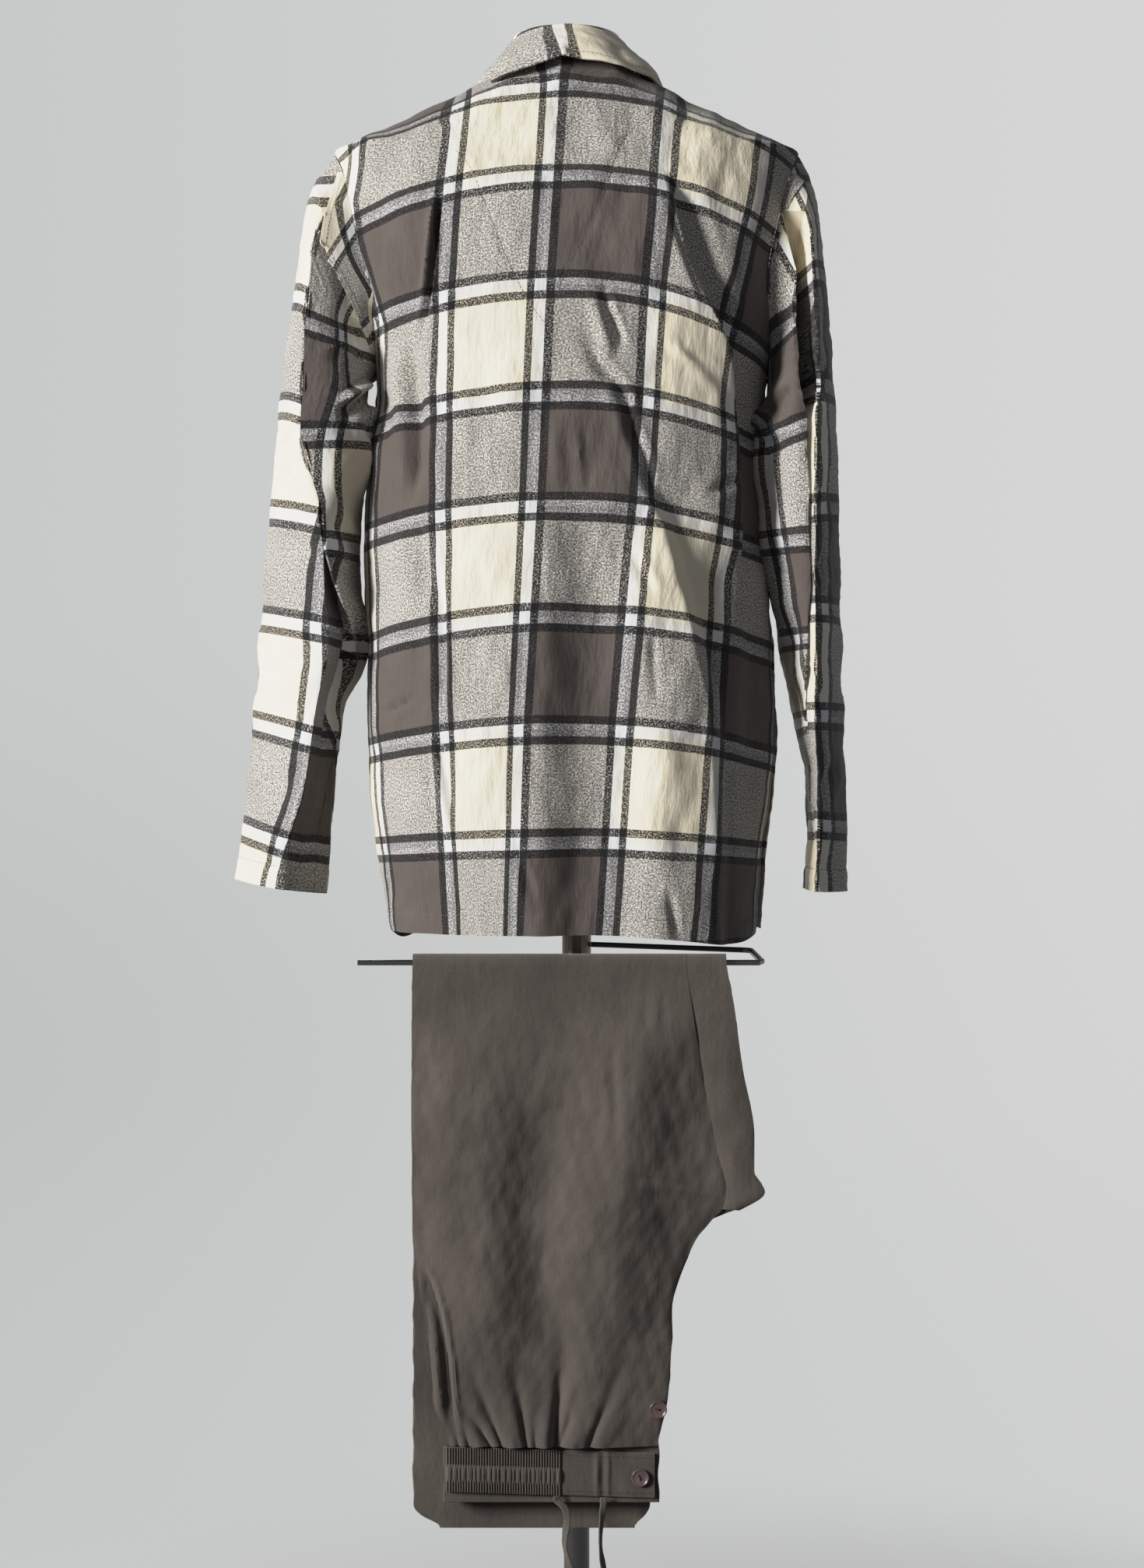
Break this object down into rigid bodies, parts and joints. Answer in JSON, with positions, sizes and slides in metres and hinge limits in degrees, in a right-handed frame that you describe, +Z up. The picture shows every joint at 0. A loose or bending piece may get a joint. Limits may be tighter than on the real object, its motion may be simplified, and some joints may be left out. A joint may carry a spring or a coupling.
{
  "type": "pyjama set on dress form stand",
  "caption": "Plaid flannel pyjama shirt worn by a limbless dress form, with matching plain trousers folded over a rail on the same floor stand.",
  "frame": {"origin": "centre of the round foot's underside, on the pole's axis", "axes": "+Z up along the pole, -Y towards the shirt's back and the trousers' near side, -X towards the wearer's left"},
  "size_m": [0.55, 0.38, 1.5875],
  "materials": {
    "shirt_flannel": "brushed twill check, matte",
    "trouser_jersey": "brushed, matte",
    "buttons": "satin",
    "form_cover": "matte jersey",
    "cap_black": "gloss",
    "stand_black": "satin",
    "hub_bronze": "satin metallic"
  },
  "bodies": {
    "root": {"shirt_back": "shirt_flannel", "shirt_front_left": "shirt_flannel", "shirt_front_right": "shirt_flannel", "sleeve_left": "shirt_flannel", "sleeve_right": "shirt_flannel", "shirt_collar": "shirt_flannel", "trousers_leg_front": "trouser_jersey", "trousers_leg_back": "trouser_jersey", "trousers_hidden_layers": "trouser_jersey", "waistband_elastic": "trouser_jersey", "waistband_plain": "trouser_jersey", "drawstring_left": "trouser_jersey", "drawstring_right": "trouser_jersey", "shirt_button_1": "buttons", "shirt_button_2": "buttons", "shirt_button_3": "buttons", "shirt_button_4": "buttons", "shirt_button_5": "buttons", "button_fly": "buttons", "button_waistband": "buttons", "dress_form": "form_cover", "neck_cap": "cap_black", "foot": "stand_black", "pole_lower": "stand_black", "pole_upper": "stand_black", "pole_lock": "stand_black", "trouser_rail": "stand_black", "rail_hub": "hub_bronze"}
  },
  "joints": []
}
